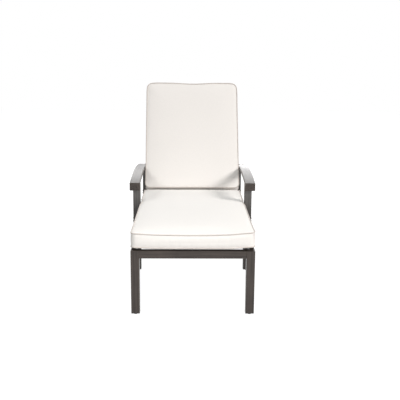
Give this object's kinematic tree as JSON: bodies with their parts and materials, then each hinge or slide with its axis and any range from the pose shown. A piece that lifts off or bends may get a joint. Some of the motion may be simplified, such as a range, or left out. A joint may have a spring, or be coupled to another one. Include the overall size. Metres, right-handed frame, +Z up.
{
  "type": "adjustable chaise longue",
  "caption": "Outdoor chaise longue with a dark metal frame, arched armrests, a reclining back held by a notched prop, and off-white welted cushions",
  "frame": {"origin": "on the floor, under the middle of the frame's width and length", "axes": "+Z up, +Y towards the head end, +X to the right of someone who looks from the foot end to the head end"},
  "size_m": [0.772, 2.068, 1.1413],
  "materials": {
    "frame_paint": "satin",
    "black_plastic": "matte",
    "black_rubber": "matte",
    "bright_steel": "satin",
    "bare_aluminium": "satin",
    "cushion_fabric": "matte"
  },
  "bodies": {
    "base": {"arm_bolts": "bright_steel", "arm_front_cross_tube": "frame_paint", "arm_front_leg_left": "frame_paint", "arm_front_leg_right": "frame_paint", "arm_rear_cross_tube": "frame_paint", "arm_rear_leg_left": "frame_paint", "arm_rear_leg_right": "frame_paint", "armrest_left": "frame_paint", "armrest_right": "frame_paint", "cross_tube_caps": "black_plastic", "front_leg_left": "frame_paint", "front_leg_right": "frame_paint", "front_rail": "frame_paint", "leg_glides": "black_plastic", "leg_top_caps": "black_plastic", "pivot_bolts": "bright_steel", "pivot_nuts": "bright_steel", "pivot_sleeves": "bare_aluminium", "rack_front_cross_tube": "frame_paint", "rack_left": "frame_paint", "rack_rear_cross_tube": "frame_paint", "rack_right": "frame_paint", "rail_end_caps": "black_plastic", "rail_inserts": "bare_aluminium", "rear_rail": "frame_paint", "rest_pads": "black_rubber", "seat_cushion": "cushion_fabric", "seat_slat_01": "frame_paint", "seat_slat_02": "frame_paint", "seat_slat_03": "frame_paint", "seat_slat_04": "frame_paint", "seat_slat_05": "frame_paint", "seat_slat_06": "frame_paint", "seat_slat_07": "frame_paint", "seat_slat_08": "frame_paint", "seat_slat_09": "frame_paint", "seat_slat_10": "frame_paint", "side_rail_left": "frame_paint", "side_rail_right": "frame_paint"},
    "backrest": {"back_bottom_rail": "frame_paint", "back_cushion": "cushion_fabric", "back_slat_1": "frame_paint", "back_slat_2": "frame_paint", "back_slat_3": "frame_paint", "back_slat_4": "frame_paint", "back_slat_5": "frame_paint", "back_slat_6": "frame_paint", "back_slat_7": "frame_paint", "back_stile_left": "frame_paint", "back_stile_right": "frame_paint", "back_top_rail": "frame_paint", "prop_pins": "bright_steel", "prop_washers": "black_plastic", "stile_bushes": "black_plastic", "stile_end_caps": "black_plastic"},
    "prop": {"prop_arm_left": "frame_paint", "prop_arm_right": "frame_paint", "prop_foot_bar": "frame_paint"}
  },
  "joints": [
    {"name": "back_recline", "type": "hinge", "parent": "base", "child": "backrest", "pos_m": [0, 0.188, 0.332], "axis": [-1, 0, 0], "range_deg": [0, 67]},
    {"name": "prop_swing", "type": "hinge", "parent": "backrest", "child": "prop", "pos_m": [0, 0.32866, 0.66338], "axis": [1, 0, 0], "range_deg": [0, 134]}
  ],
  "couplings": [
    {"joint": "prop_swing", "follows": "back_recline", "ratio": 2}
  ]
}
